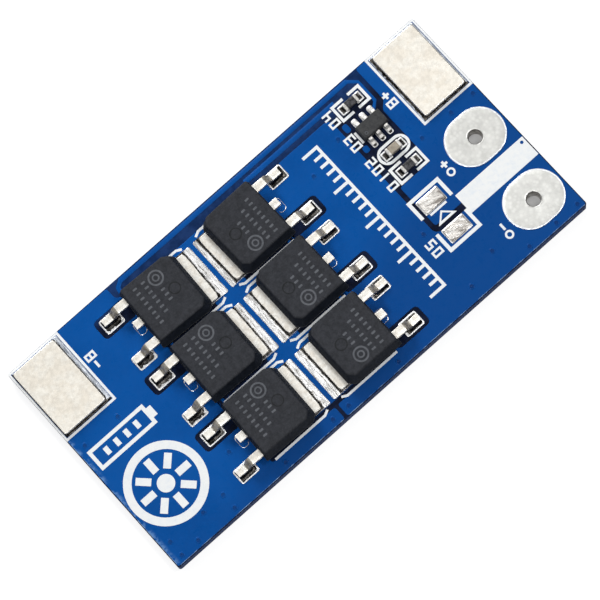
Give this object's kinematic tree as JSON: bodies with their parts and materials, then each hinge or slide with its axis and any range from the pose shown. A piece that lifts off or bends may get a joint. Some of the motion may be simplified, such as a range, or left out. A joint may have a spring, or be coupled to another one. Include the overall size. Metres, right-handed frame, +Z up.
{
  "type": "battery management board",
  "caption": "Blue protection board for a single lithium cell: power transistors, a small controller, nickel battery plates at one edge and plated output pads at an end.",
  "frame": {"origin": "middle of the board's flat underside", "axes": "+X along the board's long side towards the pack output end, +Y across it towards the edge with both battery plates, +Z up out of the component side"},
  "size_m": [0.05, 0.024, 0.004],
  "materials": {
    "solder_mask": "glossy blue solder mask over copper",
    "white_ink": "printed white ink",
    "nickel_plate": "bright nickel, slightly warm",
    "tinned_pad": "hot-air levelled tin, mottled",
    "solder": "bright reflowed solder",
    "tinned_lead": "matte tin plating",
    "mould_compound": "fine matte moulding compound",
    "silicon": "polished silicon",
    "resistor_glaze": "dark glaze on ceramic",
    "capacitor_ceramic": "fired tan ceramic"
  },
  "bodies": {
    "root": {"circuit_board": "solder_mask", "legend_print": "white_ink", "battery_positive_plate": "nickel_plate", "battery_negative_plate": "nickel_plate", "battery_positive_solder": "solder", "battery_negative_solder": "solder", "pack_positive_pad": "tinned_pad", "pack_negative_pad": "tinned_pad", "diode_lands": "solder", "controller_body": "mould_compound", "controller_leads": "tinned_lead", "controller_solder": "solder", "resistor_1_body": "resistor_glaze", "resistor_1_end_caps": "tinned_lead", "resistor_1_solder": "solder", "resistor_2_body": "resistor_glaze", "resistor_2_end_caps": "tinned_lead", "resistor_2_solder": "solder", "capacitor_1_body": "capacitor_ceramic", "capacitor_1_end_caps": "tinned_lead", "capacitor_1_solder": "solder", "transistor_1_body": "mould_compound", "transistor_1_drain_frame": "tinned_lead", "transistor_1_gate_lead": "tinned_lead", "transistor_1_source_lead": "tinned_lead", "transistor_1_die": "silicon", "transistor_1_solder": "solder", "transistor_2_body": "mould_compound", "transistor_2_drain_frame": "tinned_lead", "transistor_2_gate_lead": "tinned_lead", "transistor_2_source_lead": "tinned_lead", "transistor_2_die": "silicon", "transistor_2_solder": "solder", "transistor_3_body": "mould_compound", "transistor_3_drain_frame": "tinned_lead", "transistor_3_gate_lead": "tinned_lead", "transistor_3_source_lead": "tinned_lead", "transistor_3_die": "silicon", "transistor_3_solder": "solder", "transistor_4_body": "mould_compound", "transistor_4_drain_frame": "tinned_lead", "transistor_4_gate_lead": "tinned_lead", "transistor_4_source_lead": "tinned_lead", "transistor_4_die": "silicon", "transistor_4_solder": "solder", "transistor_5_body": "mould_compound", "transistor_5_drain_frame": "tinned_lead", "transistor_5_gate_lead": "tinned_lead", "transistor_5_source_lead": "tinned_lead", "transistor_5_die": "silicon", "transistor_5_solder": "solder", "transistor_6_body": "mould_compound", "transistor_6_drain_frame": "tinned_lead", "transistor_6_gate_lead": "tinned_lead", "transistor_6_source_lead": "tinned_lead", "transistor_6_die": "silicon", "transistor_6_solder": "solder"}
  },
  "joints": []
}
